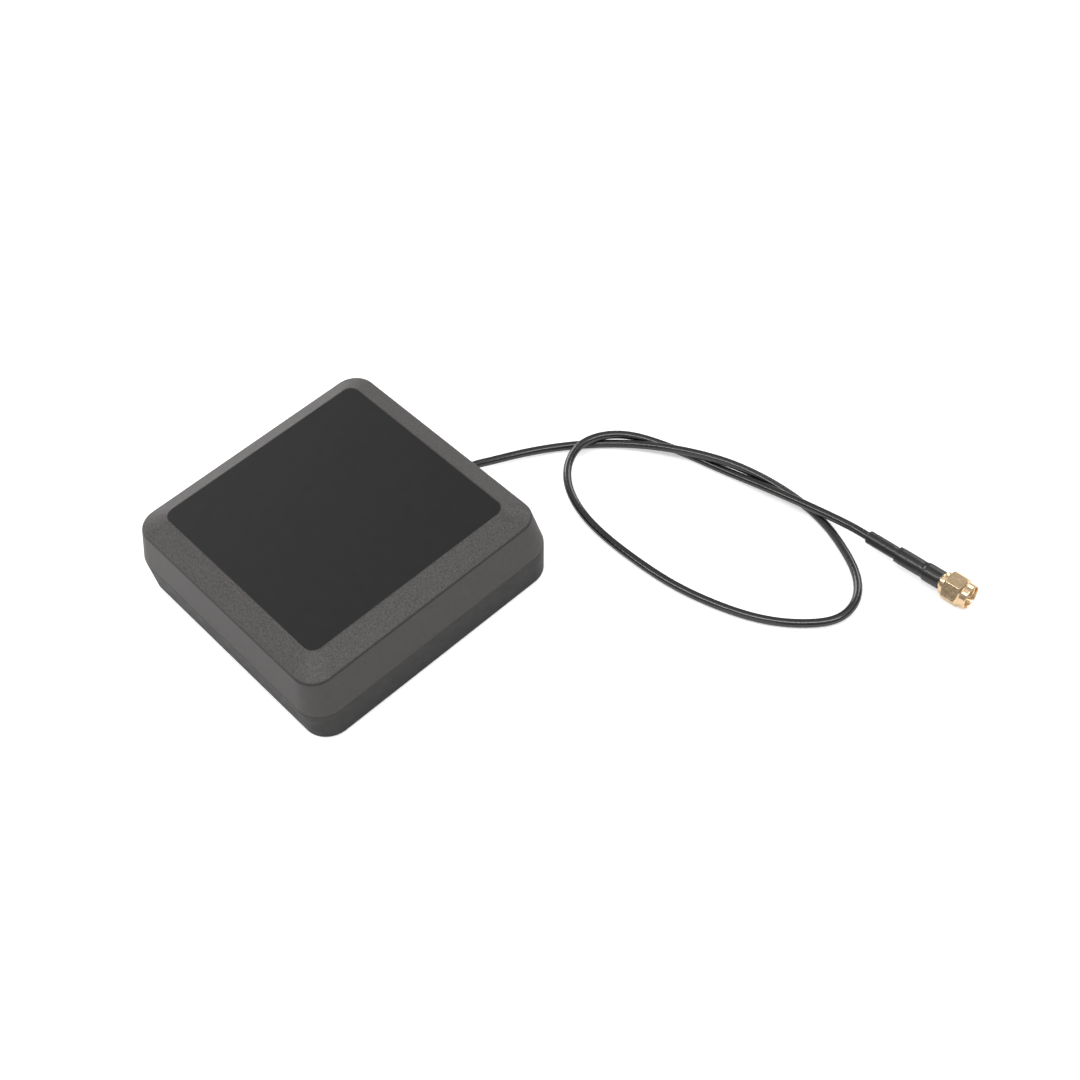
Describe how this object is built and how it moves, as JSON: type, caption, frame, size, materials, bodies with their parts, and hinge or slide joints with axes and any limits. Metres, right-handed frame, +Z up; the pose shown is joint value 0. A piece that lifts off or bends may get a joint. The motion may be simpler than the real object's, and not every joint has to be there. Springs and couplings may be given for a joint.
{
  "type": "gnss antenna",
  "caption": "Square active satellite-positioning antenna in a black bevelled housing with a looped thin coaxial lead and a gold screw-on plug.",
  "frame": {"origin": "centre of the housing's underside", "axes": "+Z up through the flat top, +Y towards the side that the lead leaves, +X to the right of that; the lead lies on the ground"},
  "size_m": [0.177, 0.1582, 0.027],
  "materials": {
    "radome_plastic": "fine moulded grain on the walls and bevel, smooth matt top",
    "base_plastic": "fine moulded grain",
    "silicone": "smooth silicone",
    "steel": "zinc plated",
    "nickel": "nickel plated",
    "black_rubber": "matt rubber",
    "circuit_board": "solder mask over copper",
    "adhesive": "foam tape",
    "ceramic": "sintered dielectric ceramic",
    "silver": "fired silver",
    "tinned_brass": "tinned",
    "tin_plate": "tin plate",
    "chip_plastic": "moulded package",
    "filter_metal": "plated lid",
    "chip_ceramic": "chip capacitor",
    "solder": "solder",
    "cable_sheath": "gloss black over braid",
    "silvered_wire": "silver plated copper",
    "white_plastic": "fluoroplastic",
    "shrink_tube": "satin black shrink tube",
    "gold_plate": "gold plated brass",
    "bronze": "spring bronze",
    "red_silicone": "silicone ring"
  },
  "bodies": {
    "housing": {"radome_cover": "radome_plastic", "base_shell": "base_plastic", "cover_seal": "silicone", "housing_screws": "steel", "base_magnets": "nickel", "cable_grommet": "black_rubber", "amplifier_board": "circuit_board", "board_screws": "steel", "patch_pads": "adhesive", "lower_patch": "ceramic", "lower_electrode": "silver", "upper_patch": "ceramic", "upper_electrode": "silver", "upper_feed_pins": "tinned_brass", "lower_feed_pins": "tinned_brass", "shield_can": "tin_plate", "amplifier_chips": "chip_plastic", "signal_filters": "filter_metal", "chip_parts": "chip_ceramic", "solder_joints": "solder", "braid_clip": "tin_plate", "cable_sheath_entry": "cable_sheath", "board_end_core": "silvered_wire", "board_end_insulation": "white_plastic", "board_end_braid": "silvered_wire"},
    "lead_neck": {"cable_sheath_neck": "cable_sheath"},
    "lead_turn": {"cable_sheath_turn": "cable_sheath"},
    "plug": {"cable_sheath_tail": "cable_sheath", "plug_end_core": "silvered_wire", "plug_end_insulation": "white_plastic", "plug_end_braid": "silvered_wire", "cable_sleeve": "shrink_tube", "plug_sleeve": "shrink_tube", "crimp_ferrule": "gold_plate", "plug_body": "gold_plate", "plug_insulator": "white_plastic", "centre_pin": "gold_plate", "plug_gasket": "red_silicone"},
    "nut_ring": {"snap_ring": "bronze"},
    "nut": {"coupling_nut": "gold_plate"}
  },
  "joints": [
    {"name": "lead_swing", "type": "hinge", "parent": "housing", "child": "lead_neck", "pos_m": [0.0005, 0.0505, 0.0051], "axis": [0, 0, 1], "range_deg": [-10, 20]},
    {"name": "lead_lift", "type": "hinge", "parent": "lead_neck", "child": "lead_turn", "pos_m": [0.0021, 0.0555, 0.0039], "axis": [1, 0, 0], "range_deg": [0, 40]},
    {"name": "plug_bend", "type": "hinge", "parent": "lead_turn", "child": "plug", "pos_m": [0.088, 0.1067, 0.004], "axis": [0, 0, 1], "range_deg": [-12, 25]},
    {"name": "nut_float", "type": "slide", "parent": "plug", "child": "nut_ring", "axis": [0.9966, 0.0819, 0], "range_m": [0, 0.0003]},
    {"name": "nut_spin", "type": "hinge", "parent": "nut_ring", "child": "nut", "pos_m": [0.1292, 0.11076, 0.004], "axis": [0.9966, 0.0819, 0], "continuous": true}
  ]
}
